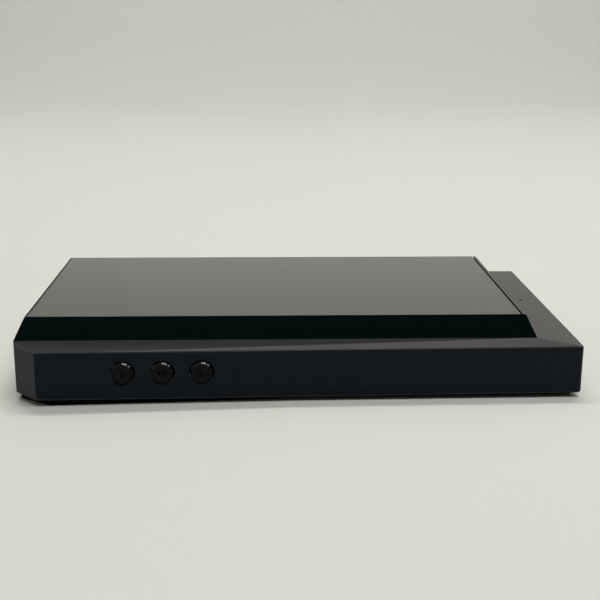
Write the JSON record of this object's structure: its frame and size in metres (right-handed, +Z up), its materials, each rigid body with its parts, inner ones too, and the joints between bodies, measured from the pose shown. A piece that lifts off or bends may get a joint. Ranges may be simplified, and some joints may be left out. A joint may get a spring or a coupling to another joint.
{
  "type": "portable music player",
  "caption": "Pocket digital music player lying screen up: faceted dark metal body, raised bevelled touch-screen block, round side buttons and a thumb wheel.",
  "frame": {"origin": "middle of the body's plan, on the surface that the player rests on", "axes": "+X along the player from the cut corner end to the plain end, +Y away from the wall with the round buttons, +Z up through the screen"},
  "size_m": [0.1084, 0.0635, 0.0159],
  "materials": {
    "body_metal": "dark bead-blasted anodised",
    "cover_panel": "black panel, satin gloss",
    "film": "bonding film",
    "gloss_black": "polished black",
    "screen_glass": "flat polished dark glass",
    "screen_layer": "screen layers",
    "foam": "closed-cell foam",
    "sheet_steel": "bare sheet steel",
    "ribbon": "amber ribbon circuit",
    "button_metal": "dark anodised, satin",
    "switch_steel": "small switch casings",
    "screw_steel": "plated steel",
    "circuit_board": "solder mask",
    "wheel_metal": "fluted anodised",
    "moulding": "black moulding",
    "jack_metal": "plated sleeve",
    "contact_metal": "spring contact",
    "chip_plastic": "chip package",
    "battery_pouch": "foil pouch",
    "port_steel": "drawn shell",
    "light_pipe": "smoked clear pipe"
  },
  "bodies": {
    "player": {"main_housing": "body_metal", "rear_cover": "cover_panel", "rear_cover_adhesive": "film", "display_bezel": "gloss_black", "bezel_adhesive": "film", "cover_glass": "screen_glass", "glass_adhesive": "film", "touch_sensor": "screen_layer", "display_panel": "screen_layer", "backlight": "screen_layer", "display_cushion": "foam", "display_carrier": "sheet_steel", "display_flex": "ribbon", "transport_switches": "switch_steel", "button_board": "circuit_board", "button_bracket": "sheet_steel", "button_flex": "ribbon", "bracket_screws": "screw_steel", "power_switch": "switch_steel", "power_switch_bracket": "sheet_steel", "volume_encoder": "switch_steel", "headphone_jack": "moulding", "headphone_jack_sleeve": "jack_metal", "balanced_jack": "moulding", "balanced_jack_sleeve": "jack_metal", "jack_contacts": "contact_metal", "main_board": "circuit_board", "main_board_screws": "screw_steel", "processor_shield": "sheet_steel", "processor_chip": "chip_plastic", "flash_memory": "chip_plastic", "dac_chips": "chip_plastic", "amplifier_chips": "chip_plastic", "audio_capacitors": "chip_plastic", "clock_crystals": "sheet_steel", "board_connectors": "moulding", "battery": "battery_pouch", "battery_tape": "film", "battery_cushion": "foam", "battery_lead": "ribbon", "usb_board": "circuit_board", "usb_board_screws": "screw_steel", "usb_port_shell": "port_steel", "usb_port_tongue": "moulding", "card_slot": "sheet_steel", "status_led": "light_pipe", "status_light_pipe": "light_pipe", "board_link_flex": "ribbon", "wireless_antenna": "circuit_board"},
    "previous_button": {"previous_button": "button_metal"},
    "play_button": {"play_button": "button_metal"},
    "next_button": {"next_button": "button_metal"},
    "power_button": {"power_button": "button_metal"},
    "volume_wheel": {"volume_wheel": "wheel_metal", "volume_shaft": "sheet_steel"}
  },
  "joints": [
    {"name": "previous_press", "type": "slide", "parent": "player", "child": "previous_button", "axis": [-0.0202, 0.9998, 0], "range_m": [0, 0.00035], "stiffness_N_per_m": 2000, "springref_m": -0.0002},
    {"name": "play_press", "type": "slide", "parent": "player", "child": "play_button", "axis": [-0.0202, 0.9998, 0], "range_m": [0, 0.00035], "stiffness_N_per_m": 2000, "springref_m": -0.0002},
    {"name": "next_press", "type": "slide", "parent": "player", "child": "next_button", "axis": [-0.0202, 0.9998, 0], "range_m": [0, 0.00035], "stiffness_N_per_m": 2000, "springref_m": -0.0002},
    {"name": "power_press", "type": "slide", "parent": "player", "child": "power_button", "axis": [1, 0, 0], "range_m": [0, 0.00035], "stiffness_N_per_m": 2000, "springref_m": -0.0002},
    {"name": "volume_turn", "type": "hinge", "parent": "player", "child": "volume_wheel", "pos_m": [-0.03295, 0.02479, 0.0065], "axis": [0, 0, 1], "continuous": true}
  ]
}
